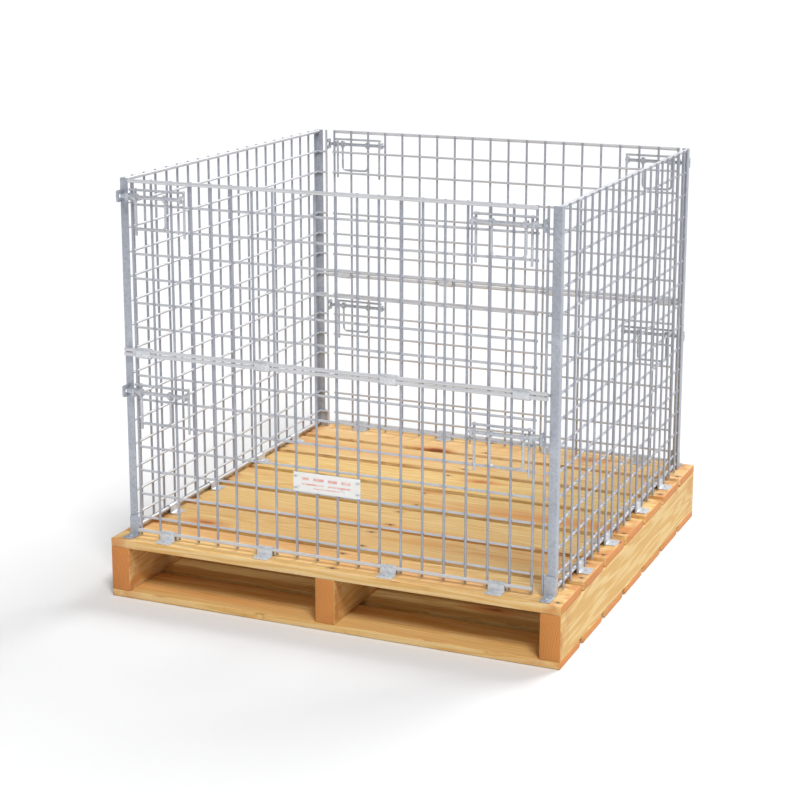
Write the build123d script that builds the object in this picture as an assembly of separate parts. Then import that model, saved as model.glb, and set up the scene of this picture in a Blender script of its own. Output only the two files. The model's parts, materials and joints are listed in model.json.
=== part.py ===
"""Wire mesh container: an open-topped cage of welded steel mesh that stands on a timber pallet.

The front and back walls are each made of two half gates. The lower gate turns on clips on the deck, and the
upper gate turns on the lower gate's top rail. Slide bolts with hanging U handles hold each gate to the corners.
The back wall is the front wall turned half a turn about the upright axis through the middle of the pallet.

Millimetres. X runs along the front, Y goes from front to back, Z is up. The origin is the middle of the
pallet's underside.
"""

import os

from build123d import *

# Pallet
PALLET = 1165.0
PALLET_HEIGHT = 150.0
TOP_BOARD = 22.0
BOTTOM_BOARD = 18.0
BOARD_WIDTH = 145.0
BOARD_COUNT = 7
BEARER_WIDTH = 50.0
BOARD_EDGE = 1.5
NAIL_SHANK_R = 1.6
NAIL_HEAD_R = 4.0
NAIL_HEAD = 1.5
NAIL_LENGTH = 60.0
NAIL_PAIR = 100.0
NAIL_STAGGER = 10.0

# Wire and rod
WIRE_R = 3.0
RAIL_R = 4.5
WIRE = 2 * WIRE_R
LOOSE = 0.3

# Mesh, with heights counted from the deck
CELLS = 19
CELL = 53.6
SIDE_CELL = 53.3
ROW = 60.0
LOWEST_ROW = 47.0
WIRE_FOOT = 3.0
BASE_RAIL_Z = 16.0
LOWER_TOP_RAIL_Z = 461.5
UPPER_BASE_RAIL_Z = 472.5
TOP_RAIL_Z = 885.0
LOWER_ROWS = 7
UPPER_ROWS = 6
SIDE_ROWS = 14
SIDE_CELLS = 20

# Where the walls stand
GATE_WIRE_Y = -537.0
GATE_ROW_Y = GATE_WIRE_Y + WIRE
RAIL_Y = GATE_WIRE_Y - WIRE_R - RAIL_R
GATE_MIDDLE_X = -12.0
FIXED_SET_BACK = 1.0
CAGE_X = 553.0
POST_THICK = 3.0
POST_WIDTH = 20.0
POST_FACE_Y = GATE_WIRE_Y + FIXED_SET_BACK
RETURN_X = 522.5
RAIL_LEFT_X = -548.5
RAIL_RIGHT_X = 530.5

# Clips
CLIP_WIDTH = 40.0
CLIP_WALL = 2.8
CLIP_EYE = RAIL_R + LOOSE + CLIP_WALL
FLANGE = 3.0
OUTER_FLANGE = 33.0
INNER_FLANGE = 28.0
CLIP_SCREWS = ((CLIP_EYE + OUTER_FLANGE) / 2, -(CLIP_EYE + INNER_FLANGE) / 2)
BASE_CLIP_CELLS = (1, 6, 12, 17)
MID_CLIP_CELLS = (0, 6, 12, 18)
SIDE_CLIP_CELLS = (3, 7, 12, 16)
SCREW_R = 2.0
SCREW_HEAD_R = 4.5
SCREW_HEAD = 2.0
SCREW_GRIP = 15.0
FOOT_HEIGHT = 50.0
FOOT_X = 527.0
FOOT_REACH = 36.0

# Latches: positions along the gate are counted from its end wire towards its middle
BOLT_R = 4.5
BOLT_Y = -551.5
BOLT_TIP = -19.0
BOLT_END = 150.0
BOLT_CHAMFER = 1.5
COLLAR_R = 6.5
COLLAR = 3.0
COLLAR_GAP = 0.4
LUG = 6.0
LUG_HALF = 8.0
OUTER_LUG = 0.0
INNER_LUG = 142.0
OUTER_SUPPORT = 11.0
SUPPORT_DROP = 95.0
BAR_RISE = 16.0
HANDLE_OUTER = 20.0
HANDLE_INNER = 100.0
HANDLE_DROP = 75.0
HANDLE_BEND = 12.0
EYE_R = 9.5
EYE = 7.0
KEEPER = -25.0
KEEPER_WIDTH = 6.0
KEEPER_HALF = 14.0
KEEPER_SLOT = 5.5
KEEPER_NOSE = 5.0
LATCH_HEIGHTS = {"lower": 370.0, "upper": 848.0}

# Label
LABEL_X = (-98.5, 74.5)
LABEL_Z = (171.0, 219.0)
LABEL_THICK = 1.5
TIE = 1.6
TIE_HEIGHT = 3.0
TIE_Z = (181.0, 209.0)

EDGE_X = {"left": GATE_MIDDLE_X - CELLS * CELL / 2, "right": GATE_MIDDLE_X + CELLS * CELL / 2}
INWARD = {"left": 1, "right": -1}


def block(low, high):
    """A box between two opposite corners."""
    size = [b - a for a, b in zip(low, high)]
    return Solid.make_box(*size, Plane(origin=low))


def rod(start, end, radius):
    """A round rod between two points."""
    start, end = Vector(*start), Vector(*end)
    return Solid.make_cylinder(radius, (end - start).length, Plane(origin=start, z_dir=end - start))


def up(x, y, low, high, radius=WIRE_R):
    """An upright rod, with heights counted from the deck."""
    return rod((x, y, PALLET_HEIGHT + low), (x, y, PALLET_HEIGHT + high), radius)


def along_x(left, right, y, height, radius=WIRE_R):
    """A level rod along X, with its height counted from the deck."""
    return rod((left, y, PALLET_HEIGHT + height), (right, y, PALLET_HEIGHT + height), radius)


def along_y(front, back, x, height, radius=WIRE_R):
    """A level rod along Y, with its height counted from the deck."""
    return rod((x, front, PALLET_HEIGHT + height), (x, back, PALLET_HEIGHT + height), radius)


def turned(pieces):
    """The same pieces on the opposite wall."""
    return [piece.rotate(Axis.Z, 180) for piece in pieces]


def save(name, pieces):
    """Write one named part."""
    solids = [solid for piece in pieces for solid in piece.solids()]
    export_step(Compound(children=solids), f"parts/{name}.step")


def save_on_both_walls(name, pieces):
    """Write a part of the front wall, and its twin on the back wall."""
    save(f"front_{name}", pieces)
    save(f"back_{name}", turned(pieces))


# ---- pallet


def board_ys():
    """The middles of the boards, front to back, evenly spaced with the outer two flush with the pallet."""
    first = (BOARD_WIDTH - PALLET) / 2
    pitch = -2 * first / (BOARD_COUNT - 1)
    return [first + pitch * n for n in range(BOARD_COUNT)]


def bearer_xs():
    """The middles of the three bearers."""
    outer = (PALLET - BEARER_WIDTH) / 2
    return {"left": -outer, "middle": 0.0, "right": outer}


def nails():
    """Two staggered nails at every crossing of a board and a bearer, their heads flush with the wood."""
    return [
        nail(x + inward * side * NAIL_STAGGER, y + side * NAIL_PAIR / 2, face, inward)
        for x in bearer_xs().values()
        for y in board_ys()
        for side in (-1, 1)
        for face, inward in ((PALLET_HEIGHT, -1), (0.0, 1))
    ]


def nail(x, y, face, inward):
    """One nail, driven from a face of the pallet, upwards (1) or downwards (-1)."""
    neck = face + inward * NAIL_HEAD
    point = face + inward * NAIL_LENGTH
    return rod((x, y, face), (x, y, neck), NAIL_HEAD_R) + rod((x, y, neck), (x, y, point), NAIL_SHANK_R)


def less(solid, holes):
    """The solid without those holes that reach it."""
    box = solid.bounding_box()
    near = [
        hole
        for hole in holes
        if hole.bounding_box().min.X < box.max.X
        and hole.bounding_box().max.X > box.min.X
        and hole.bounding_box().min.Y < box.max.Y
        and hole.bounding_box().max.Y > box.min.Y
        and hole.bounding_box().min.Z < box.max.Z
        and hole.bounding_box().max.Z > box.min.Z
    ]
    return solid.cut(*near) if near else solid


def board(y, low, high):
    """One board with its long edges eased."""
    half = PALLET / 2
    plain = block((-half, y - BOARD_WIDTH / 2, low), (half, y + BOARD_WIDTH / 2, high))
    return plain.chamfer(BOARD_EDGE, None, plain.edges().filter_by(Axis.X))


def bearer(x):
    """One bearer with its long edges eased."""
    half = PALLET / 2
    low = (x - BEARER_WIDTH / 2, -half, BOTTOM_BOARD)
    plain = block(low, (x + BEARER_WIDTH / 2, half, PALLET_HEIGHT - TOP_BOARD))
    return plain.chamfer(BOARD_EDGE, None, plain.edges().filter_by(Axis.Y))


def save_pallet(screw_holes):
    """Boards and bearers, each with its nail and screw holes, and the nails."""
    holes = nails() + screw_holes
    for number, y in enumerate(board_ys(), 1):
        save(f"top_board_{number}", [less(board(y, PALLET_HEIGHT - TOP_BOARD, PALLET_HEIGHT), holes)])
        save(f"bottom_board_{number}", [less(board(y, 0.0, BOTTOM_BOARD), holes)])
    for name, x in bearer_xs().items():
        save(f"bearer_{name}", [less(bearer(x), holes)])
    save("pallet_nails", nails())


# ---- mesh


def row_heights(count, first=LOWEST_ROW):
    """Heights of the level wires of a mesh."""
    return [first + ROW * n for n in range(count)]


def gate_wire_xs():
    """The upright wires of a gate."""
    return [EDGE_X["left"] + CELL * n for n in range(CELLS + 1)]


def gate(low, high, rows):
    """Upright wires with level wires welded behind them."""
    left, right = EDGE_X["left"] - WIRE_R, EDGE_X["right"] + WIRE_R
    uprights = [up(x, GATE_WIRE_Y, low, high) for x in gate_wire_xs()]
    return uprights + [along_x(left, right, GATE_ROW_Y, height) for height in rows]


def lower_gate():
    """The lower gate's mesh, with its hinge rod below and its long rail above."""
    left, right = EDGE_X["left"] - WIRE_R, EDGE_X["right"] + WIRE_R
    return [
        *gate(WIRE_FOOT, LOWER_TOP_RAIL_Z + RAIL_R, row_heights(LOWER_ROWS)),
        along_x(left, right, RAIL_Y, BASE_RAIL_Z, RAIL_R),
        along_x(RAIL_LEFT_X, RAIL_RIGHT_X, RAIL_Y, LOWER_TOP_RAIL_Z, RAIL_R),
    ]


def upper_gate():
    """The upper gate's mesh, with its long hinge rod below and its rail above."""
    left, right = EDGE_X["left"] - WIRE_R, EDGE_X["right"] + WIRE_R
    first = LOWEST_ROW + ROW * (LOWER_ROWS + 1)
    return [
        *gate(UPPER_BASE_RAIL_Z - RAIL_R, TOP_RAIL_Z + RAIL_R, row_heights(UPPER_ROWS, first)),
        along_x(RAIL_LEFT_X, RAIL_RIGHT_X, RAIL_Y, UPPER_BASE_RAIL_Z, RAIL_R),
        along_x(left, right, RAIL_Y, TOP_RAIL_Z, RAIL_R),
    ]


def side_wire_ys():
    """The upright wires of a side panel."""
    return [SIDE_CELL * (n - SIDE_CELLS / 2) for n in range(SIDE_CELLS + 1)]


def right_side_panel():
    """The right side's mesh between its posts, and its return round the front corner."""
    back = -POST_FACE_Y - POST_THICK
    row_x = CAGE_X - WIRE
    rail_x = CAGE_X - WIRE_R - RAIL_R
    heights = row_heights(SIDE_ROWS)
    inside = [y for y in side_wire_ys() if abs(y) < back - POST_WIDTH]
    return_y = POST_FACE_Y
    return [
        *[up(CAGE_X, y, WIRE_FOOT, TOP_RAIL_Z + RAIL_R) for y in inside],
        *[along_y(-back, back, row_x, height) for height in heights],
        along_y(-back, back, rail_x, BASE_RAIL_Z, RAIL_R),
        along_y(-back, back, rail_x, TOP_RAIL_Z, RAIL_R),
        up(RETURN_X, return_y, WIRE_FOOT, TOP_RAIL_Z + RAIL_R),
        *[along_x(RETURN_X - WIRE_R, row_x - WIRE_R, return_y + WIRE, height) for height in heights],
    ]


# ---- posts and feet


def right_post():
    """The front right post, an angle open towards the inside of the cage."""
    low, high = PALLET_HEIGHT, PALLET_HEIGHT + TOP_RAIL_Z + RAIL_R
    face = block(
        (CAGE_X - POST_WIDTH, POST_FACE_Y, low),
        (CAGE_X, POST_FACE_Y + POST_THICK, high),
    )
    side = block(
        (CAGE_X - POST_THICK, POST_FACE_Y, low),
        (CAGE_X, POST_FACE_Y + POST_WIDTH, high),
    )
    return face + side


def mirrored(pieces):
    """The same pieces at the other end of the front wall."""
    return [piece.mirror(Plane.YZ) for piece in pieces]


def right_foot():
    """The front right foot: an upright plate on the post, and a flange on the deck with its screw's hole."""
    front = POST_FACE_Y - FLANGE
    plate = block(
        (FOOT_X, front, PALLET_HEIGHT),
        (CAGE_X, POST_FACE_Y, PALLET_HEIGHT + FOOT_HEIGHT),
    )
    flange = block(
        (FOOT_X, front - FOOT_REACH, PALLET_HEIGHT),
        (CAGE_X, front, PALLET_HEIGHT + FLANGE),
    )
    return [plate, flange - screw_hole(*foot_screw_at())]


def foot_screw_at():
    """Where the front right foot's screw goes in."""
    return (FOOT_X + CAGE_X) / 2, POST_FACE_Y - FLANGE - FOOT_REACH / 2


# ---- screws


def screw(x, y):
    """A pan head screw, driven down through a flange on the deck."""
    top = PALLET_HEIGHT + FLANGE
    head = rod((x, y, top), (x, y, top + SCREW_HEAD), SCREW_HEAD_R)
    return head + rod((x, y, top - SCREW_GRIP), (x, y, top), SCREW_R)


def screw_hole(x, y):
    """The hole that a screw's shank fills."""
    top = PALLET_HEIGHT + FLANGE
    return rod((x, y, top - SCREW_GRIP), (x, y, top + 1), SCREW_R)


def screw_places():
    """Every screw on the deck: those of the front wall and the right side, and the same turned half a turn."""
    x, y = foot_screw_at()
    places = [(x, y), (-x, y)]
    places += [(cell_middle(cell), RAIL_Y - reach) for cell in BASE_CLIP_CELLS for reach in CLIP_SCREWS]
    rail_x = CAGE_X - WIRE_R - RAIL_R
    places += [(rail_x + reach, side_cell_middle(cell)) for cell in SIDE_CLIP_CELLS for reach in CLIP_SCREWS]
    return places + [(-x, -y) for x, y in places]


# ---- clips


def cell_middle(cell):
    """The middle of one of a gate's cells."""
    return EDGE_X["left"] + CELL * (cell + 0.5)


def side_cell_middle(cell):
    """The middle of one of a side panel's cells."""
    ys = side_wire_ys()
    return (ys[cell] + ys[cell + 1]) / 2


def deck_clip(bore):
    """A clip on the deck round a rod along X: a saddle between two flanges. Outwards is -Y."""
    centre = PALLET_HEIGHT + BASE_RAIL_Z
    half = CLIP_WIDTH / 2
    saddle = rod((-half, 0, centre), (half, 0, centre), CLIP_EYE)
    saddle += block((-half, -CLIP_EYE, PALLET_HEIGHT), (half, CLIP_EYE, centre))
    saddle -= rod((-half - 1, 0, centre), (half + 1, 0, centre), bore)
    top = PALLET_HEIGHT + FLANGE
    outer = block((-half, -OUTER_FLANGE, PALLET_HEIGHT), (half, -CLIP_EYE, top))
    inner = block((-half, CLIP_EYE, PALLET_HEIGHT), (half, INNER_FLANGE, top))
    return [saddle] + [
        flange - screw_hole(0, -reach) for flange, reach in zip((outer, inner), CLIP_SCREWS)
    ]


def base_clips():
    """The front wall's hinge clips on the deck."""
    return [
        piece.moved(Location((cell_middle(cell), RAIL_Y, 0)))
        for cell in BASE_CLIP_CELLS
        for piece in deck_clip(RAIL_R + LOOSE)
    ]


def side_clips():
    """The clips that hold both side panels' bottom rods."""
    rail_x = CAGE_X - WIRE_R - RAIL_R
    right = [
        piece.rotate(Axis.Z, 90).moved(Location((rail_x, side_cell_middle(cell), 0)))
        for cell in SIDE_CLIP_CELLS
        for piece in deck_clip(RAIL_R)
    ]
    return right + turned(right)


def mid_clips():
    """The clips between the gates: clamped on the lower gate's rail, loose on the upper gate's hinge rod."""
    low, high = PALLET_HEIGHT + LOWER_TOP_RAIL_Z, PALLET_HEIGHT + UPPER_BASE_RAIL_Z
    pieces = []
    for cell in MID_CLIP_CELLS:
        left, right = cell_middle(cell) - CLIP_WIDTH / 2, cell_middle(cell) + CLIP_WIDTH / 2
        body = rod((left, RAIL_Y, low), (right, RAIL_Y, low), CLIP_EYE)
        body += rod((left, RAIL_Y, high), (right, RAIL_Y, high), CLIP_EYE)
        body += block((left, RAIL_Y - CLIP_EYE, low), (right, RAIL_Y + CLIP_EYE, high))
        body -= rod((left - 1, RAIL_Y, low), (right + 1, RAIL_Y, low), RAIL_R)
        body -= rod((left - 1, RAIL_Y, high), (right + 1, RAIL_Y, high), RAIL_R + LOOSE)
        pieces.append(body)
    return pieces


# ---- latches


def at(side, inset):
    """The X of a place counted from a gate's end wire towards its middle."""
    return EDGE_X[side] + INWARD[side] * inset


def span(side, start, end):
    """The same for a stretch, lower X first."""
    return sorted((at(side, start), at(side, end)))


def lug(side, inset, height):
    """A plate with a bore that guides the bolt, welded on an upright wire."""
    left, right = span(side, inset - LUG / 2, inset + LUG / 2)
    centre = PALLET_HEIGHT + height
    plate = block(
        (left, BOLT_Y - LUG_HALF, centre - LUG_HALF),
        (right, GATE_WIRE_Y - WIRE_R, centre + LUG_HALF),
    )
    return plate - along_x(left - 1, right + 1, BOLT_Y, height, BOLT_R + LOOSE)


def latch_frame(side, height):
    """Two short upright wires, a bar across them, and the two lugs."""
    left, right = span(side, OUTER_LUG - WIRE_R, INNER_LUG + WIRE_R)
    low, high = height - SUPPORT_DROP, height + BAR_RISE + WIRE_R
    return [
        up(at(side, OUTER_SUPPORT), GATE_WIRE_Y, low, high),
        up(at(side, INNER_LUG), GATE_WIRE_Y, low, high),
        along_x(left, right, GATE_WIRE_Y - WIRE, height + BAR_RISE),
        lug(side, OUTER_LUG, height),
        lug(side, INNER_LUG, height),
    ]


def bolt(side, height):
    """The sliding rod, with a collar inside each of the handle's eyes."""
    tip = rod(
        (at(side, BOLT_TIP), BOLT_Y, PALLET_HEIGHT + height),
        (at(side, BOLT_END), BOLT_Y, PALLET_HEIGHT + height),
        BOLT_R,
    )
    body = tip.chamfer(BOLT_CHAMFER, None, tip.edges().filter_by(GeomType.CIRCLE))
    gap = EYE / 2 + COLLAR_GAP
    for start in (HANDLE_OUTER + gap, HANDLE_INNER - gap - COLLAR):
        left, right = span(side, start, start + COLLAR)
        body += along_x(left, right, BOLT_Y, height, COLLAR_R)
    return [body]


def handle(side, height):
    """A U of wire that hangs by two eyes from the bolt."""
    centre = PALLET_HEIGHT + height
    left, right = span(side, HANDLE_OUTER, HANDLE_INNER)
    neck = centre - (EYE_R + BOLT_R + LOOSE) / 2
    foot = centre - HANDLE_DROP
    path = FilletPolyline(
        (left, BOLT_Y, neck),
        (left, BOLT_Y, foot),
        (right, BOLT_Y, foot),
        (right, BOLT_Y, neck),
        radius=HANDLE_BEND,
    )
    section = Plane(origin=path @ 0, z_dir=path % 0) * Circle(WIRE_R)
    body = sweep(section, path=path)
    for x in (left, right):
        body += along_x(x - EYE / 2, x + EYE / 2, BOLT_Y, height, EYE_R)
    for x in (left, right):
        body -= along_x(x - EYE, x + EYE, BOLT_Y, height, BOLT_R + LOOSE)
    return [body]


def keeper(side, height):
    """A slotted tab that the bolt pushes into, as two cheeks and a nose."""
    left, right = span(side, KEEPER - KEEPER_WIDTH / 2, KEEPER + KEEPER_WIDTH / 2)
    root = POST_FACE_Y if side == "left" else POST_FACE_Y - WIRE_R
    nose = BOLT_Y - KEEPER_SLOT
    centre = PALLET_HEIGHT + height
    cheeks = [
        block((left, nose, centre + low), (right, root, centre + low + KEEPER_HALF - KEEPER_SLOT))
        for low in (KEEPER_SLOT, -KEEPER_HALF)
    ]
    return cheeks + [
        block((left, nose - KEEPER_NOSE, centre - KEEPER_HALF), (right, nose, centre + KEEPER_HALF))
    ]


def save_latches():
    """Frames, bolts and handles of both walls. Left and right are as seen facing the wall from outside."""
    for level, height in LATCH_HEIGHTS.items():
        frames = [piece for side in INWARD for piece in latch_frame(side, height)]
        save_on_both_walls(f"{level}_latch_frames", frames)
        for side in INWARD:
            save_on_both_walls(f"{level}_{side}_bolt", bolt(side, height))
            save_on_both_walls(f"{level}_{side}_handle", handle(side, height))
    keepers = [
        piece for side in INWARD for height in LATCH_HEIGHTS.values() for piece in keeper(side, height)
    ]
    save_on_both_walls("keepers", keepers)


# ---- label


def label_wires():
    """The first and last of the upright wires that pass behind the label."""
    behind = [x for x in gate_wire_xs() if LABEL_X[0] < x < LABEL_X[1]]
    return behind[0], behind[-1]


def tie(x, height):
    """A flat loop round an upright wire and the label."""
    front = GATE_WIRE_Y - WIRE_R - LABEL_THICK
    back = GATE_WIRE_Y + WIRE_R
    low = PALLET_HEIGHT + height - TIE_HEIGHT / 2
    high = low + TIE_HEIGHT
    outer = block((x - WIRE_R - TIE, front - TIE, low), (x + WIRE_R + TIE, back + TIE, high))
    return outer - block((x - WIRE_R, front, low - 1), (x + WIRE_R, back, high + 1))


def save_label():
    """The plate and its four ties."""
    front = GATE_WIRE_Y - WIRE_R - LABEL_THICK
    plate = block(
        (LABEL_X[0], front, PALLET_HEIGHT + LABEL_Z[0]),
        (LABEL_X[1], GATE_WIRE_Y - WIRE_R, PALLET_HEIGHT + LABEL_Z[1]),
    )
    ties = [tie(x, height) for x in label_wires() for height in TIE_Z]
    save("label_plate", [plate.cut(*ties)])
    save("label_ties", ties)


os.makedirs("parts", exist_ok=True)

screws_at = screw_places()
save_pallet([screw_hole(x, y) for x, y in screws_at])
save("clip_screws", [screw(x, y) for x, y in screws_at])

save("side_panel_right", right_side_panel())
save("side_panel_left", turned(right_side_panel()))
save_on_both_walls("right_post", [right_post()])
save_on_both_walls("left_post", mirrored([right_post()]))
feet = right_foot() + mirrored(right_foot())
save("corner_feet", feet + turned(feet))

save_on_both_walls("lower_gate", lower_gate())
save_on_both_walls("upper_gate", upper_gate())
save_on_both_walls("base_clips", base_clips())
save_on_both_walls("mid_clips", mid_clips())
save("side_clips", side_clips())
save_latches()
save_label()
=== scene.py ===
"""Looks of the wire mesh container: timber, zinc, welds, nails, screws, label, floor, light and camera."""

import json
import math
import random

import bmesh
import bpy
import numpy as np
from mathutils import Euler, Matrix, Vector, noise


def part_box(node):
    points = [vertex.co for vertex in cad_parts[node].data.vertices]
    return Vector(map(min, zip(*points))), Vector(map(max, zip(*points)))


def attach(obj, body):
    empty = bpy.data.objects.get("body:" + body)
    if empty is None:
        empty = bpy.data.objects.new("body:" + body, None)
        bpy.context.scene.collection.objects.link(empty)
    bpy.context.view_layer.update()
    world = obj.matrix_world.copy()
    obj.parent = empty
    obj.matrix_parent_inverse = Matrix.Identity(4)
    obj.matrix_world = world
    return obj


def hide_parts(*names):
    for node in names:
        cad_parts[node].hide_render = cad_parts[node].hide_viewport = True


MM = 0.001
SEED = 7

# Sawn timber: an end ring is (how far in from the end, how far its points are drawn in)
BOARD_STEP = 8.0 * MM
BOARD_ROUNDING = 2.2 * MM
CORNER_POINTS = 4
END_RINGS = ((0.0, 1.6 * MM), (0.6 * MM, 0.5 * MM))
END_REACH = 1.6 * MM
TIMBER_SHARP = 50.0
SAW_WAVE = 0.18 * MM
NIBBLE = 9.0 * MM
NIBBLE_FROM = 0.32
STAIN_ACROSS = 8.0 * MM
STAIN_ALONG = 20.0 * MM

# How fast the timber's noise changes along a board, across it, and from board to board
WAVE_ALONG, WAVE_ACROSS, WAVE_SEED = 9.0, 60.0, 3.1
NIBBLE_ALONG, NIBBLE_ROUND = 26.0, 3.0

# Scales of the timber's texture, across the grain and along it
GRAIN = (9.0, 0.55)
FIBRE = (240.0, 7.0)
SAW_MARKS = (900.0, 30.0)
KNOTS = (7.0, 2.6)
END_GRAIN = (38.0, 0.2)
BOARD_SHIFT = (0.37, 0.23, 0.11)

# Timber colours
LATE_WOOD = (0.78, 0.50, 0.18)
HONEY = (0.85, 0.61, 0.26)
EARLY_WOOD = (0.89, 0.69, 0.36)
FIBRE_BROWN = (0.74, 0.38, 0.11)
RED_BLUSH = (0.74, 0.27, 0.06)
SOAKED_WOOD = (0.64, 0.26, 0.075)
RUST_STAIN = (0.30, 0.085, 0.025)
KNOT_HALO = (0.66, 0.22, 0.045)
KNOT_HEART = (0.28, 0.085, 0.020)
END_GRAIN_DARK = (0.60, 0.21, 0.045)
END_GRAIN_LIGHT = (0.78, 0.35, 0.085)

# Zinc: crystals and clouds add to its roughness, which therefore starts a little lower than its middle value
ZINC_BLOOM = (0.76, 0.78, 0.81)
# Painted light: a lighter zinc that the level wires and rails are mixed towards, as if lit from above
PAINTED_LIGHT_ZINC = (0.80, 0.80, 0.81)
ZINC_METALLIC = 0.45
ZINC_SMOOTHER = 0.18

# Wires and welds: a wire is at least so many times as long as it is wide
SAME_POINT = 0.02 * MM
WIRE_SLENDERNESS = 3.0
CROSSING_GAP = 0.6 * MM
TOUCH = 0.005 * MM
BEAD_RADIUS = 3.5 * MM
BEAD_FLATNESS = 0.95
BEAD_LUMPS = 0.10
BEAD_LUMP_SCALE = 900.0
BEAD_TURN = 6.28

# Folded strips: flanges, eyes and slots have the CAD's sizes; a step is the degrees between an arc's points
FLANGE = 3.0 * MM
OUTER_FLANGE = 33.0 * MM
STRAP_EYE = 7.6 * MM
STRAP_WALL = 2.8 * MM
STRIP_BEND = 2.0 * MM
STRIP_CORNER = 5.0 * MM
STRIP_EDGE = 0.4 * MM
KEEPER_SLOT = 5.5 * MM
KEEPER_NOSE = 5.0 * MM
KEEPER_CORNER = 4.0 * MM
BEND_STEP = 18.0
EYE_STEP = 10.0
SLOT_STEP = 15.0

# Eased metal edges, with angles in degrees
EASED_EDGE = 0.6 * MM
EASED_OVER = 35.0
METAL_SHARP = 40.0
FLAT_UNDER = 1.0
CAD_SAME_POINT = 0.01 * MM

# Screw heads: the profile is (share of the radius, share of the height), from the rim to the middle
SCREW_HEAD = 2.0 * MM
HEAD_POINTS = 48
HEAD_PROFILE = (
    (1.0, 0.0), (1.0, 0.35), (0.95, 0.62), (0.80, 0.84), (0.62, 0.94), (0.45, 0.98), (0.28, 1.0), (0.14, 1.0),
)
RECESS_REACH = 0.7
RECESS_HALF = 0.13
RECESS_DEPTH = 0.35
HEAD_TURN_SCALE = 50.0

# Label bars: each row is (bottom, top, (start, end) of every bar), in shares of the plate
BAR_PROUD = 0.2 * MM
BAR_CORNER = 0.8 * MM
LABEL_ROWS = (
    (0.62, 0.76, ((0.13, 0.24), (0.30, 0.46), (0.52, 0.66), (0.72, 0.86))),
    (0.38, 0.46, ((0.13, 0.46), (0.52, 0.86))),
    (0.21, 0.26, ((0.30, 0.70),)),
)

# Surroundings
FLOOR_HALF = 90.0
FLOOR_GREY = (0.82, 0.82, 0.82, 1.0)
FLOOR_DROP = 0.5 * MM
SURROUND_COLOUR = (0.97, 0.98, 1.0, 1.0)
SURROUND_STRENGTH = 0.32
LIT_POINT = Vector((0.0, 0.0, 0.4))
CAMERA_AT = (1.779, -4.254, 1.662)
CAMERA_DOWN = 12.1
CAMERA_TURN = 23.36
CAMERA_LENS = 82.7
CAMERA_SENSOR = 36.0
CAMERA_SHIFT = -0.12
CAMERA_REACH = 200.0

# Sockets of the mix node when it mixes colours
MIX_FACTOR, MIX_FIRST, MIX_SECOND, MIX_RESULT = 0, 6, 7, 2

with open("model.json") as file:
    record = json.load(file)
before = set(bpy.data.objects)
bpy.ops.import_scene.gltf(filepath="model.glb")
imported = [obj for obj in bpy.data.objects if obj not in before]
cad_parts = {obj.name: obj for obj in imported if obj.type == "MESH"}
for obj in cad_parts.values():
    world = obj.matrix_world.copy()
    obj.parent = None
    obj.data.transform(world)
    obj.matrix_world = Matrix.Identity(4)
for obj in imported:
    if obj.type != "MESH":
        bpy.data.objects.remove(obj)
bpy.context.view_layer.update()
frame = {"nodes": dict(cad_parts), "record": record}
nodes = frame["nodes"]

# ---- shader helpers


def new_material(name):
    """A material with its shader, a function that adds a node to it, and one that joins two sockets."""
    material = bpy.data.materials.new(name)
    material.use_nodes = True
    tree = material.node_tree
    shader = tree.nodes["Principled BSDF"]

    def add(kind, inputs=None, **settings):
        node = tree.nodes.new(kind)
        for key, value in settings.items():
            setattr(node, key, value)
        for key, value in (inputs or {}).items():
            if isinstance(value, bpy.types.NodeSocket):
                tree.links.new(value, node.inputs[key])
            else:
                node.inputs[key].default_value = value
        return node

    def join(source, target):
        tree.links.new(source, target)

    return material, shader, add, join


def object_place(add):
    """The place of a point in its object."""
    return add("ShaderNodeTexCoord").outputs["Object"]


def ramp(add, factor, stops):
    """A colour ramp over factor, from (position, colour) pairs."""
    node = add("ShaderNodeValToRGB", {"Fac": factor})
    elements = node.color_ramp.elements
    while len(elements) < len(stops):
        elements.new(1.0)
    for element, (position, colour) in zip(elements, stops):
        element.position = position
        element.color = (*colour, 1.0)
    return node.outputs["Color"]


def grey_ramp(add, factor, low, high, at_low=0.0, at_high=1.0):
    """A plain ramp from grey to grey between two places."""
    return ramp(add, factor, [(low, (at_low,) * 3), (high, (at_high,) * 3)])


def mix(add, factor, first, second, blend="MIX"):
    """Two colours mixed."""
    node = add("ShaderNodeMix", data_type="RGBA", blend_type=blend)
    for index, value in ((MIX_FACTOR, factor), (MIX_FIRST, first), (MIX_SECOND, second)):
        if isinstance(value, bpy.types.NodeSocket):
            node.id_data.links.new(value, node.inputs[index])
        elif index == MIX_FACTOR:
            node.inputs[index].default_value = value
        else:
            node.inputs[index].default_value = (*value, 1.0)
    return node.outputs[MIX_RESULT]


def combined(add, first, second, operation="MULTIPLY"):
    """Two numbers combined."""
    return add("ShaderNodeMath", {0: first, 1: second}, operation=operation).outputs[0]


def unsigned(add, number):
    """A number without its sign."""
    return add("ShaderNodeMath", {0: number}, operation="ABSOLUTE").outputs[0]


def weighted_sum(add, *terms):
    """The sum of (number, weight) pairs."""
    total, *others = [combined(add, number, weight) for number, weight in terms]
    for term in others:
        total = combined(add, total, term, "ADD")
    return total


def noise_at(add, place, scale, detail, output="Fac"):
    """Cloudy noise over a texture space."""
    return add("ShaderNodeTexNoise", {"Vector": place, "Scale": scale, "Detail": detail}).outputs[output]


def pushed_about(add, place, scale, detail, amount):
    """A texture space pushed about by noise."""
    push = noise_at(add, place, scale, detail, "Color")
    scaled = add("ShaderNodeVectorMath", {0: push, "Scale": amount}, operation="SCALE").outputs[0]
    return add("ShaderNodeVectorMath", {0: place, 1: scaled}, operation="ADD").outputs[0]


def add_bump(add, join, shader, height, strength, distance):
    """Relief too small to model, which follows a height."""
    bump = add("ShaderNodeBump", {"Strength": strength, "Distance": distance, "Height": height})
    join(bump.outputs[0], shader.inputs["Normal"])


# ---- mesh helpers


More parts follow.
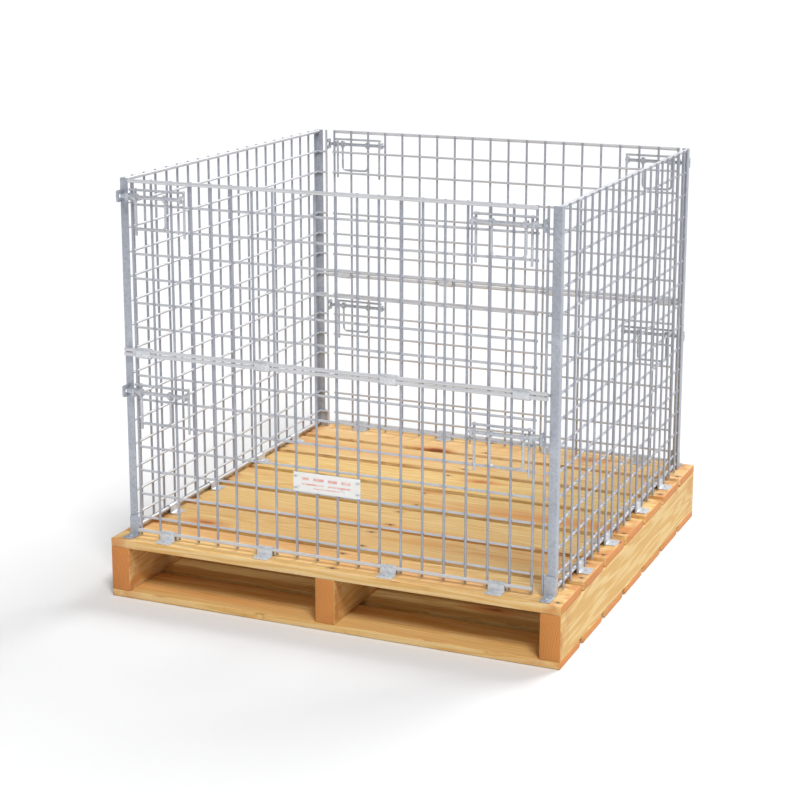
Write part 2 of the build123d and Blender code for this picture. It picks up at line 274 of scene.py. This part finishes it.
def wires_of(name):
    """The lowest and highest corner of each loose part of a CAD node's mesh: of each wire, clip or nail."""
    data = nodes[name].data
    spots = np.array([vertex.co for vertex in data.vertices])
    keys = np.round(spots / SAME_POINT).astype(np.int64)
    _, welded = np.unique(keys, axis=0, return_inverse=True)
    welded = welded.ravel()
    parent = list(range(welded.max() + 1))

    def top(n):
        while parent[n] != n:
            parent[n] = parent[parent[n]]
            n = parent[n]
        return n

    for face in data.polygons:
        first = top(welded[face.vertices[0]])
        for vertex in face.vertices[1:]:
            parent[top(welded[vertex])] = first
    groups = {}
    for index, key in enumerate(welded):
        groups.setdefault(top(key), []).append(index)
    return [(spots[members].min(0), spots[members].max(0)) for members in groups.values()]


def skin(mesh, rings):
    """Faces between rings of points, and over the first and the last, which are returned."""
    count = len(rings[0])
    for first, second in zip(rings, rings[1:]):
        for n in range(count):
            m = (n + 1) % count
            mesh.faces.new((first[n], first[m], second[m], second[n]))
    return mesh.faces.new(rings[0]), mesh.faces.new(rings[-1][::-1])


def added(name, mesh, smooth=True):
    """A new object in the scene from a bmesh, shaded smooth or flat."""
    data = bpy.data.meshes.new(name)
    mesh.to_mesh(data)
    mesh.free()
    if smooth:
        data.shade_smooth()
    piece = bpy.data.objects.new(name, data)
    bpy.context.scene.collection.objects.link(piece)
    return piece


def keep_sharp(piece, degrees):
    """Edges sharper than an angle stay sharp on a smooth mesh."""
    piece.data.set_sharp_from_angle(angle=math.radians(degrees))


# ---- timber


def along_grain(add, along, seed, scales):
    """A board's own texture space, with one scale across the grain and another along it."""
    across_scale, along_scale = scales
    scale = [across_scale] * 3
    scale[along] = along_scale
    place = object_place(add)
    shift = [seed * part for part in BOARD_SHIFT]
    return add("ShaderNodeMapping", {"Vector": place, "Location": shift, "Scale": scale}).outputs[0]


def growth_rings(add, grain_at, along):
    """Bands of early and late wood along a face."""
    return add(
        "ShaderNodeTexWave",
        {
            "Vector": pushed_about(add, grain_at, scale=1.6, detail=3.0, amount=1.1),
            "Scale": 3.4,
            "Distortion": 5.0,
            "Detail": 3.0,
            "Detail Scale": 1.4,
        },
        bands_direction="Y" if along == 0 else "X",
    ).outputs["Fac"]


def face_colour(add, rings, fibre, patch):
    """Honey-coloured wood with brown fibres and redder patches."""
    colour = ramp(add, rings, [(0.10, LATE_WOOD), (0.50, HONEY), (0.95, EARLY_WOOD)])
    colour = mix(add, grey_ramp(add, fibre, 0.38, 0.72, 0.0, 0.30), colour, FIBRE_BROWN)
    return mix(add, grey_ramp(add, patch, 0.54, 0.72, 0.0, 0.70), colour, RED_BLUSH)


def with_soaked_ends(add, colour, along):
    """Darker wood in patches near a board's ends."""
    place = object_place(add)
    run = unsigned(add, add("ShaderNodeSeparateXYZ", {0: place}).outputs[along])
    near_end = grey_ramp(add, run, 0.49, 0.57)
    soaked = grey_ramp(add, noise_at(add, place, scale=21.0, detail=3.0), 0.46, 0.60, 0.0, 0.75)
    return mix(add, combined(add, near_end, soaked), colour, SOAKED_WOOD)


def with_nail_stains(add, colour, fibre):
    """Rust in the wood round each nail, ragged along the fibres."""
    stain = add("ShaderNodeAttribute", attribute_name="stain").outputs["Fac"]
    ragged = combined(add, stain, combined(add, fibre, 1.5))
    return mix(add, grey_ramp(add, ragged, 0.20, 0.75, 0.0, 0.80), colour, RUST_STAIN)


def with_knots(add, colour, knot_at):
    """Knots with a dark heart and a redder halo."""
    uneven = pushed_about(add, knot_at, scale=4.0, detail=2.0, amount=0.22)
    spot = add("ShaderNodeTexVoronoi", {"Vector": uneven, "Scale": 1.0}).outputs["Distance"]
    colour = mix(add, grey_ramp(add, spot, 0.06, 0.22, 0.80, 0.0), colour, KNOT_HALO)
    return mix(add, grey_ramp(add, spot, 0.03, 0.09, 0.90, 0.0), colour, KNOT_HEART)


def with_end_grain(add, colour, along, end_at):
    """Rings of end grain on the faces that look along a board."""
    normal = add("ShaderNodeNewGeometry").outputs["Normal"]
    facing = unsigned(add, add("ShaderNodeSeparateXYZ", {0: normal}).outputs[along])
    end_rings = add(
        "ShaderNodeTexWave",
        {"Vector": end_at, "Scale": 2.3, "Distortion": 3.0, "Detail": 3.0},
        wave_type="RINGS",
        rings_direction=("X", "Y", "Z")[along],
    ).outputs["Fac"]
    end_colour = ramp(add, end_rings, [(0.2, END_GRAIN_DARK), (0.8, END_GRAIN_LIGHT)])
    return mix(add, grey_ramp(add, facing, 0.60, 0.80), colour, end_colour)


def timber(name, along, seed, tint):
    """Sawn softwood whose grain runs along one axis."""
    material, shader, add, join = new_material(name)
    grain_at, fibre_at, saw_at, knot_at, end_at = (
        along_grain(add, along, seed, scales) for scales in (GRAIN, FIBRE, SAW_MARKS, KNOTS, END_GRAIN)
    )
    rings = growth_rings(add, grain_at, along)
    fibre = noise_at(add, fibre_at, scale=1.0, detail=4.0)
    sawn = noise_at(add, saw_at, scale=1.0, detail=3.0)
    patch = noise_at(add, grain_at, scale=0.9, detail=2.0)
    colour = face_colour(add, rings, fibre, patch)
    colour = with_soaked_ends(add, colour, along)
    colour = with_nail_stains(add, colour, fibre)
    colour = with_knots(add, colour, knot_at)
    colour = with_end_grain(add, colour, along, end_at)
    colour = mix(add, 1.0, colour, tint, blend="MULTIPLY")
    join(colour, shader.inputs["Base Color"])
    rough = add("ShaderNodeMapRange", {"Value": fibre, "To Min": 0.48, "To Max": 0.72}).outputs[0]
    join(rough, shader.inputs["Roughness"])
    height = weighted_sum(add, (fibre, 0.6), (sawn, 0.4), (rings, 0.25))
    add_bump(add, join, shader, height, strength=0.35, distance=1.2 * MM)
    return material


def timber_outline(width, height):
    """Points round a board's section, each with the way out from it and whether it is on a rounded corner."""
    corners = []
    for turn, (sx, sy) in enumerate(((1, -1), (1, 1), (-1, 1), (-1, -1))):
        centre = Vector((sx * (width / 2 - BOARD_ROUNDING), sy * (height / 2 - BOARD_ROUNDING)))
        for step in range(CORNER_POINTS):
            angle = math.radians(-90 + 90 * turn + 90 / (CORNER_POINTS - 1) * step)
            out = Vector((math.cos(angle), math.sin(angle)))
            corners.append((centre + out * BOARD_ROUNDING, out))
    points = []
    for index, (spot, out) in enumerate(corners):
        points.append((spot, out, True))
        if index % CORNER_POINTS == CORNER_POINTS - 1:
            following, _ = corners[(index + 1) % len(corners)]
            count = max(1, int((following - spot).length / BOARD_STEP))
            points += [(spot.lerp(following, n / count), out, False) for n in range(1, count)]
    return points


def timber_rings(start, end):
    """Where a board's rings of points stand along it, and how far each is drawn in."""
    count = round((end - start) / BOARD_STEP)
    inner = end - start - 2 * END_REACH
    rings = [(start + distance, pull) for distance, pull in END_RINGS]
    rings += [(start + END_REACH + inner * n / count, 0.0) for n in range(count + 1)]
    rings += [(end - distance, pull) for distance, pull in reversed(END_RINGS)]
    return rings


def worn_depth(run, spot, out, corner, seed):
    """How far a point lies under the plain board: faint waves on the faces, nibbles on the corners."""
    probe = Vector((run * WAVE_ALONG + seed * WAVE_SEED, spot.x * WAVE_ACROSS, spot.y * WAVE_ACROSS))
    wave = SAW_WAVE * (1.0 + noise.noise(probe))
    if not corner:
        return wave
    probe = Vector((run * NIBBLE_ALONG + seed, out.x * NIBBLE_ROUND, out.y * NIBBLE_ROUND + seed))
    return wave + max(0.0, noise.noise(probe) - NIBBLE_FROM) * NIBBLE


def timber_piece(name, low, high, along, seed, nails):
    """One sawn board or bearer inside its CAD box."""
    across, upwards = (axis for axis in (0, 1, 2) if axis != along)
    size = high - low
    middle = (low + high) / 2
    outline = timber_outline(size[across], size[upwards])
    mesh = bmesh.new()
    rings = []
    for run, pull in timber_rings(low[along], high[along]):
        ring = []
        for spot, out, corner in outline:
            place = spot - out * (worn_depth(run, spot, out, corner, seed) + pull)
            where = [run, run, run]
            where[across] = middle[across] + place.x
            where[upwards] = middle[upwards] + place.y
            ring.append(mesh.verts.new(where))
        rings.append(ring)
    skin(mesh, rings)
    bmesh.ops.recalc_face_normals(mesh, faces=mesh.faces)
    piece = added(name, mesh)
    keep_sharp(piece, TIMBER_SHARP)
    stain_round(piece.data, along, nails)
    return piece


def stain_round(data, along, nails):
    """Marks how rusty the wood is at each point, in streaks along the grain from each nail."""
    spots = np.array([vertex.co for vertex in data.vertices])
    reach = np.full(3, STAIN_ACROSS)
    reach[along] = STAIN_ALONG
    stain = np.zeros(len(spots))
    for nail in nails:
        away = np.linalg.norm((spots - nail) / reach, axis=1)
        stain = np.maximum(stain, np.exp(-away * away))
    data.attributes.new("stain", "FLOAT", "POINT").data.foreach_set("value", stain.astype(np.float32))


def nail_heads():
    """The middle of each nail's head, on the face that the nail was driven into."""
    under_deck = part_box("bearer_middle")[1].z
    heads = []
    for low, high in wires_of("pallet_nails"):
        face = high[2] if high[2] > under_deck else low[2]
        heads.append(((low[0] + high[0]) / 2, (low[1] + high[1]) / 2, face))
    return heads


def build_timber():
    """Every board and bearer, each with its own shade."""
    chance = random.Random(SEED)
    nails = nail_heads()
    names = [name for name in sorted(nodes) if "board" in name or name.startswith("bearer")]
    for number, name in enumerate(names):
        low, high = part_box(name)
        along = 1 if name.startswith("bearer") else 0
        piece = timber_piece(f"timber_{name}", low, high, along, number + 1, nails)
        red = chance.uniform(0.84, 0.96)
        green = red * chance.uniform(0.90, 1.00)
        blue = green * chance.uniform(0.85, 1.00)
        piece.data.materials.append(timber(f"timber_{number}", along, number + 1, (red, green, blue)))
        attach(piece, "base")
        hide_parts(name)


# ---- metal


def shaded(colour, share):
    """A colour made darker or lighter."""
    return tuple(min(1.0, share * part) for part in colour)


def painted_light_wire_masks(add, place, uprights):
    """Two masks over a mesh for painted light, told by how far out each wire stands: its level wires, and its
    rails.
    """
    side_face, inner_face, outer_face = uprights
    spot = add("ShaderNodeSeparateXYZ", {0: place})
    across, depth = (unsigned(add, spot.outputs[axis]) for axis in (0, 1))
    rail = combined(add, depth, outer_face, "GREATER_THAN")
    in_gate = combined(add, combined(add, depth, inner_face, "GREATER_THAN"), rail, "SUBTRACT")
    upright = combined(add, in_gate, combined(add, across, side_face, "GREATER_THAN"), "MAXIMUM")
    return combined(add, 1.0, upright, "SUBTRACT"), rail


def zinc(name, base, rough, spangle=320.0, uprights=None):
    """Galvanised steel: crystals, dull patches and white bloom; all but a mesh's uprights can get painted
    light, lighter as if lit from above.
    """
    material, shader, add, join = new_material(name)
    place = object_place(add)
    crystals = add("ShaderNodeTexVoronoi", {"Vector": place, "Scale": spangle}).outputs["Color"]
    crystal = add("ShaderNodeSeparateColor", {0: crystals}).outputs[0]
    cloud = noise_at(add, place, scale=9.0, detail=6.0)
    speck = noise_at(add, place, scale=520.0, detail=3.0)
    colour = ramp(add, crystal, [(0.0, shaded(base, 0.86)), (0.5, base), (1.0, shaded(base, 1.10))])
    colour = mix(add, grey_ramp(add, cloud, 0.40, 0.58, 0.30, 0.0), colour, shaded(base, 0.66))
    colour = mix(add, grey_ramp(add, cloud, 0.60, 0.72, 0.0, 0.30), colour, ZINC_BLOOM)
    # Painted light: level wires and rails are mixed towards a lighter zinc, as if lit from above, so the
    # uprights stay darker
    if uprights:
        level, rail = painted_light_wire_masks(add, place, uprights)
        colour = mix(add, combined(add, level, 0.55), colour, PAINTED_LIGHT_ZINC)
        colour = mix(add, combined(add, rail, 0.50), colour, PAINTED_LIGHT_ZINC)
    join(colour, shader.inputs["Base Color"])
    shader.inputs["Metallic"].default_value = ZINC_METALLIC
    spread = weighted_sum(add, (crystal, 0.08), (cloud, 0.30))
    join(combined(add, spread, rough - ZINC_SMOOTHER, "ADD"), shader.inputs["Roughness"])
    height = weighted_sum(add, (speck, 0.6), (crystal, 0.4))
    add_bump(add, join, shader, height, strength=0.15, distance=0.4 * MM)
    return material


def nail_metal():
    """Dull nail heads with rust at their edges."""
    material, shader, add, join = new_material("nail_metal")
    rust = noise_at(add, object_place(add), scale=260.0, detail=4.0)
    stops = [(0.35, (0.20, 0.19, 0.19)), (0.55, (0.12, 0.09, 0.08)), (0.70, (0.22, 0.07, 0.03))]
    join(ramp(add, rust, stops), shader.inputs["Base Color"])
    shader.inputs["Metallic"].default_value = 0.7
    join(grey_ramp(add, rust, 0.3, 0.7, 0.40, 0.80), shader.inputs["Roughness"])
    add_bump(add, join, shader, rust, strength=0.3, distance=0.4 * MM)
    return material


def label_paint():
    """White painted plate, faintly stained."""
    material, shader, add, join = new_material("label_paint")
    stain = noise_at(add, object_place(add), scale=34.0, detail=5.0)
    stops = [(0.30, (0.86, 0.85, 0.82)), (0.62, (0.90, 0.90, 0.89)), (0.78, (0.66, 0.62, 0.56))]
    join(ramp(add, stain, stops), shader.inputs["Base Color"])
    join(grey_ramp(add, stain, 0.3, 0.7, 0.30, 0.50), shader.inputs["Roughness"])
    add_bump(add, join, shader, stain, strength=0.08, distance=0.5 * MM)
    return material


def label_red():
    """Faint red printed bars, worn thin in places."""
    material, shader, add, join = new_material("label_red")
    wear = noise_at(add, object_place(add), scale=90.0, detail=3.0)
    stops = [(0.34, (0.78, 0.36, 0.31)), (0.52, (0.84, 0.50, 0.45)), (0.66, (0.87, 0.68, 0.63))]
    join(ramp(add, wear, stops), shader.inputs["Base Color"])
    shader.inputs["Roughness"].default_value = 0.45
    return material


def long_axis(wire):
    """Which way a wire runs, or None for a stubby piece."""
    low, high = wire
    size = high - low
    axis = int(np.argmax(size))
    return axis if size[axis] > WIRE_SLENDERNESS * np.sort(size)[1] else None


def crossings(first, second):
    """Where wires of one list touch wires of the other that run another way: the middle of each touch."""
    found = []
    for one in first:
        for other in second:
            if long_axis(one) is None or long_axis(other) is None or long_axis(one) == long_axis(other):
                continue
            low = np.maximum(one[0], other[0])
            high = np.minimum(one[1], other[1])
            if (high - low > -CROSSING_GAP).all():
                found.append((low + high) / 2)
    return found


def unique_spots(spots):
    """The same places once each."""
    return list({tuple(np.round(spot / MM, 1)): spot for spot in spots}.values())


def weld_beads(name, spots, body, metal):
    """One mesh of small flattened beads, squeezed out where wires are resistance welded."""
    chance = random.Random(SEED + len(spots))
    mesh = bmesh.new()
    for spot in spots:
        centre = Vector(spot)
        size = BEAD_RADIUS * chance.uniform(0.88, 1.12)
        turn = Euler([chance.uniform(0.0, BEAD_TURN) for _ in range(3)]).to_matrix().to_4x4()
        stretch = Matrix.Diagonal((1.0, chance.uniform(0.92, 1.08), BEAD_FLATNESS, 1.0))
        place = Matrix.Translation(centre) @ stretch @ turn
        made = bmesh.ops.create_icosphere(mesh, subdivisions=2, radius=size, matrix=place)
        for vertex in made["verts"]:
            lump = noise.noise(vertex.co * BEAD_LUMP_SCALE)
            vertex.co += (vertex.co - centre) * BEAD_LUMPS * lump
    piece = added(name, mesh)
    piece.data.materials.append(metal)
    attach(piece, body)


def build_welds(metal):
    """Beads at every crossing of each mesh, of its rails, and of the latch frames welded on it."""
    for wall in ("front", "back"):
        for level in ("lower", "upper"):
            gate = wires_of(f"{wall}_{level}_gate")
            latch = wires_of(f"{wall}_{level}_latch_frames")
            spots = unique_spots(crossings(gate, gate) + crossings(latch, gate) + crossings(latch, latch))
            weld_beads(f"{wall}_{level}_welds", spots, f"{wall}_{level}", metal)
    for side in ("left", "right"):
        panel = wires_of(f"side_panel_{side}")
        weld_beads(f"side_{side}_welds", unique_spots(crossings(panel, panel)), "base", metal)


def upright_faces():
    """How far out the uprights begin at the sides, and where they begin and end at the front and back."""
    side, gate = (
        [wire for wire in wires_of(name) if long_axis(wire) == 2]
        for name in ("side_panel_right", "front_lower_gate")
    )
    side_face = max(low[0] for low, _ in side)
    inner_face = min(-high[1] for _, high in gate)
    outer_face = max(-low[1] for low, _ in gate)
    return side_face + TOUCH, inner_face + TOUCH, outer_face + TOUCH


def round_edges(mesh, width):
    """Takes the sharpness off every edge that isn't part of a curve."""
    bmesh.ops.recalc_face_normals(mesh, faces=mesh.faces)
    limit = math.radians(EASED_OVER)
    sharp = [edge for edge in mesh.edges if len(edge.link_faces) == 2 and edge.calc_face_angle() > limit]
    bmesh.ops.bevel(
        mesh, geom=sharp, offset=width, segments=2, profile=0.6, affect="EDGES", clamp_overlap=True
    )
    bmesh.ops.triangulate(mesh, faces=[face for face in mesh.faces if len(face.verts) > 4])


def finished(name, mesh):
    """A new object from a bmesh, smooth where it curves."""
    piece = added(name, mesh)
    keep_sharp(piece, METAL_SHARP)
    return piece


def eased(name):
    """A CAD node's own shape with its sharp edges rounded."""
    mesh = bmesh.new()
    mesh.from_mesh(nodes[name].data)
    bmesh.ops.remove_doubles(mesh, verts=mesh.verts, dist=CAD_SAME_POINT)
    flat = math.radians(FLAT_UNDER)
    bmesh.ops.dissolve_limit(mesh, angle_limit=flat, verts=mesh.verts, edges=mesh.edges)
    round_edges(mesh, EASED_EDGE)
    return finished(f"eased_{name}", mesh)


def arc(across, height, radius, start, end, step):
    """Points of an arc in a section, from one angle to another, so many degrees apart."""
    count = round(abs(end - start) / step)
    angles = [math.radians(start + (end - start) * n / count) for n in range(count + 1)]
    return [(across + radius * math.cos(angle), height + radius * math.sin(angle)) for angle in angles]


def drawn_out(mesh, outline, origin, outward, half_width, corner):
    """A closed section drawn out sideways, with the corners of a strip's ends rounded in plan."""
    sideways = Vector((-outward.y, outward.x, 0.0))
    rings = [
        [mesh.verts.new(origin + outward * u + Vector((0.0, 0.0, v)) + sideways * w) for u, v in outline]
        for w in (-half_width, half_width)
    ]
    caps = skin(mesh, rings)
    if corner:
        ends = [edge for cap in caps for edge in cap.edges if abs(edge.calc_length() - FLANGE) < 0.05 * MM]
        bmesh.ops.bevel(mesh, geom=ends, offset=corner, segments=5, profile=0.5, affect="EDGES")


def strap_outline(outer, inner, rise):
    """The section of a strip folded over a rod, with a flange on the deck at each side."""
    bore = STRAP_EYE - STRAP_WALL
    bend = STRIP_BEND
    inside = FLANGE
    return [
        *((outer, 0.0), (outer, FLANGE)),
        *arc(STRAP_EYE + bend, FLANGE + bend, bend, 270, 180, BEND_STEP),
        *arc(0.0, rise, STRAP_EYE, 0, 180, EYE_STEP),
        *arc(-STRAP_EYE - bend, FLANGE + bend, bend, 0, -90, BEND_STEP),
        *((-inner, FLANGE), (-inner, 0.0)),
        *arc(-bore - inside, inside, inside, -90, 0, BEND_STEP),
        *arc(0.0, rise, bore, 180, 0, EYE_STEP),
        *arc(bore + inside, inside, inside, 180, 270, BEND_STEP),
    ]


def foot_outline(reach, height):
    """The section of a strip bent up from the deck against a post."""
    outside = FLANGE + STRIP_BEND
    return [
        (0.0, height),
        *arc(outside, outside, outside, 180, 270, SLOT_STEP),
        *((reach, 0.0), (reach, FLANGE)),
        *arc(outside, outside, STRIP_BEND, 270, 180, BEND_STEP),
        (FLANGE, height),
    ]


def keeper_outline(reach, half):
    """The section of a slotted tab, round at the slot's end and at its own outer corners."""
    slot = KEEPER_SLOT
    bolt_at = reach - KEEPER_NOSE - slot
    corner = KEEPER_CORNER
    return [
        *((0.0, half), (0.0, slot)),
        *arc(bolt_at, 0.0, slot, 90, -90, SLOT_STEP),
        *((0.0, -slot), (0.0, -half)),
        *arc(reach - corner, corner - half, corner, -90, 0, BEND_STEP),
        *arc(reach - corner, half - corner, corner, 0, 90, BEND_STEP),
    ]


def out_of_cage(low, high, crosswise):
    """The way out of the wall at a small piece, how far in and out the piece reaches, and its half width."""
    middle = (low + high) / 2
    axis = 1 if crosswise else 0
    outward = Vector((0.0, 0.0, 0.0))
    outward[axis] = math.copysign(1.0, middle[axis])
    near, far = sorted((low[axis] * outward[axis], high[axis] * outward[axis]))
    return outward, near, far, (high[1 - axis] - low[1 - axis]) / 2


def strips(name, kind):
    """A node's clips, feet or keepers as folded or punched strips in place of the CAD's blocks."""
    mesh = bmesh.new()
    for low, high in wires_of(name):
        length, depth, height = high - low
        outward, near, far, half_width = out_of_cage(low, high, kind == "keepers" or depth > length)
        start, level, corner = near, low[2], STRIP_CORNER
        if kind == "clips":
            start = far - OUTER_FLANGE
            outline = strap_outline(OUTER_FLANGE, start - near, height - STRAP_EYE)
        elif kind == "feet":
            outline = foot_outline(far - near, height)
        else:
            outline = keeper_outline(far - near, height / 2)
            level, corner = low[2] + height / 2, 0.0
        origin = Vector((low + high) / 2)
        origin += outward * (start - origin.dot(outward))
        origin.z = level
        drawn_out(mesh, outline, origin, outward, half_width, corner)
    round_edges(mesh, STRIP_EDGE)
    return finished(f"folded_{name}", mesh)


def head_ring(mesh, middle, top, radius, turn, share, rise):
    """One ring of points round a screw's head, sunk where it crosses the recess."""
    ring = []
    for n in range(HEAD_POINTS):
        angle = math.tau * n / HEAD_POINTS
        aside = min(abs(share * math.cos(angle)), abs(share * math.sin(angle)))
        sunk = RECESS_DEPTH if share < RECESS_REACH and aside < RECESS_HALF else 0.0
        x = middle[0] + radius * share * math.cos(angle + turn)
        y = middle[1] + radius * share * math.sin(angle + turn)
        ring.append(mesh.verts.new((x, y, top + SCREW_HEAD * (rise - sunk - 1.0))))
    return ring


def screw_heads(name):
    """Pan heads with a cross recess, in place of the CAD's plain screws."""
    mesh = bmesh.new()
    for low, high in wires_of(name):
        radius = (high[0] - low[0]) / 2
        middle = (low + high) / 2
        turn = noise.noise(Vector(middle) * HEAD_TURN_SCALE) * math.pi
        skin(mesh, [head_ring(mesh, middle, high[2], radius, turn, *profile) for profile in HEAD_PROFILE])
    bmesh.ops.recalc_face_normals(mesh, faces=mesh.faces)
    return finished(f"headed_{name}", mesh)


def reshaped(name):
    """A finer stand-in for a CAD node where it has one, or else the node itself."""
    if name in ("front_base_clips", "back_base_clips", "side_clips"):
        return strips(name, "clips")
    if name == "corner_feet":
        return strips(name, "feet")
    if name.endswith("keepers"):
        return strips(name, "keepers")
    if name == "clip_screws":
        return screw_heads(name)
    if name.endswith(("post", "mid_clips", "label_plate")):
        return eased(name)
    return nodes[name]


def body_of(name):
    """The body that a CAD node belongs to."""
    bodies = frame["record"]["behaviour"]["bodies"]
    return next(body for body, members in bodies.items() if name in members)


def dress_metal():
    """Zinc on every steel node, rusty heads on the nails, paint on the label, and the welds."""
    looks = {
        "zinc_wire": zinc("zinc_wire", (0.42, 0.44, 0.50), 0.46, uprights=upright_faces()),
        "zinc_rod": zinc("zinc_rod", (0.58, 0.60, 0.64), 0.38),
        "zinc_sheet": zinc("zinc_sheet", (0.46, 0.49, 0.55), 0.42, spangle=210.0),
        "nail_steel": nail_metal(),
        "label_white": label_paint(),
    }
    bright_strip = zinc("zinc_strip", (0.72, 0.74, 0.77), 0.34, spangle=260.0)
    for part in frame["record"]["subparts"]:
        if part["material_slot"] in looks:
            name = part["node"]
            piece = reshaped(name)
            if piece is not nodes[name]:
                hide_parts(name)
                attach(piece, body_of(name))
            piece.data.materials.clear()
            piece.data.materials.append(bright_strip if "clips" in name else looks[part["material_slot"]])
    build_welds(looks["zinc_wire"])


def bar(name, low, high, metal, body):
    """A flat bar with round corners, printed proud of the label."""
    mesh = bmesh.new()
    bmesh.ops.create_cube(mesh, size=1.0)
    for vertex in mesh.verts:
        vertex.co = Vector([low[n] + (vertex.co[n] + 0.5) * (high[n] - low[n]) for n in range(3)])
    corners = [edge for edge in mesh.edges if edge.verts[0].co.y != edge.verts[1].co.y]
    bmesh.ops.bevel(mesh, geom=corners, offset=BAR_CORNER, segments=4, profile=0.5, affect="EDGES")
    piece = added(name, mesh, smooth=False)
    piece.data.materials.append(metal)
    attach(piece, body)


def build_label():
    """Plain faint bars on the plate where the real one is printed."""
    low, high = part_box("label_plate")
    red = label_red()
    width = high.x - low.x
    height = high.z - low.z
    for row, (bottom, upper, bars) in enumerate(LABEL_ROWS):
        for number, (start, end) in enumerate(bars):
            bar(
                f"label_bar_{row}_{number}",
                (low.x + start * width, low.y - BAR_PROUD, low.z + bottom * height),
                (low.x + end * width, low.y + BAR_PROUD, low.z + upper * height),
                red,
                "front_lower",
            )


# ---- surroundings


def build_floor():
    """A plain pale floor."""
    mesh = bmesh.new()
    bmesh.ops.create_grid(mesh, x_segments=1, y_segments=1, size=FLOOR_HALF)
    material, shader, _, _ = new_material("floor")
    shader.inputs["Base Color"].default_value = FLOOR_GREY
    shader.inputs["Roughness"].default_value = 0.9
    floor = added("floor", mesh, smooth=False)
    floor.data.materials.append(material)
    floor.location.z = -FLOOR_DROP


def build_sun(name, place, power, spread):
    """A sun that shines from a place towards the object, as soft as its spread in degrees."""
    sun = bpy.data.lights.new(name, "SUN")
    sun.energy = power
    sun.angle = math.radians(spread)
    holder = bpy.data.objects.new(name, sun)
    holder.location = place
    holder.rotation_euler = (LIT_POINT - Vector(place)).to_track_quat("-Z", "Y").to_euler()
    bpy.context.scene.collection.objects.link(holder)


def build_light():
    """Soft studio light: a dim surround, a high key from the front right and a broader sun from behind."""
    world = bpy.data.worlds.new("surround")
    bpy.context.scene.world = world
    world.use_nodes = True
    background = world.node_tree.nodes["Background"]
    background.inputs["Color"].default_value = SURROUND_COLOUR
    background.inputs["Strength"].default_value = SURROUND_STRENGTH
    build_sun("key", place=(1.6, -2.0, 3.8), power=2.1, spread=16.0)
    build_sun("rim", place=(1.0, 2.2, 2.8), power=2.0, spread=26.0)


def build_camera():
    """A long lens from the front right, a little above the cage."""
    lens = bpy.data.cameras.new("camera")
    lens.sensor_width = CAMERA_SENSOR
    lens.lens = CAMERA_LENS
    lens.shift_y = CAMERA_SHIFT
    lens.clip_end = CAMERA_REACH
    camera = bpy.data.objects.new("camera", lens)
    camera.location = CAMERA_AT
    camera.rotation_euler = (math.radians(90.0 - CAMERA_DOWN), 0.0, math.radians(CAMERA_TURN))
    bpy.context.scene.collection.objects.link(camera)
    bpy.context.scene.camera = camera


build_camera()
build_timber()
dress_metal()
build_label()
build_floor()
build_light()
bpy.context.scene.view_settings.view_transform = "Standard"
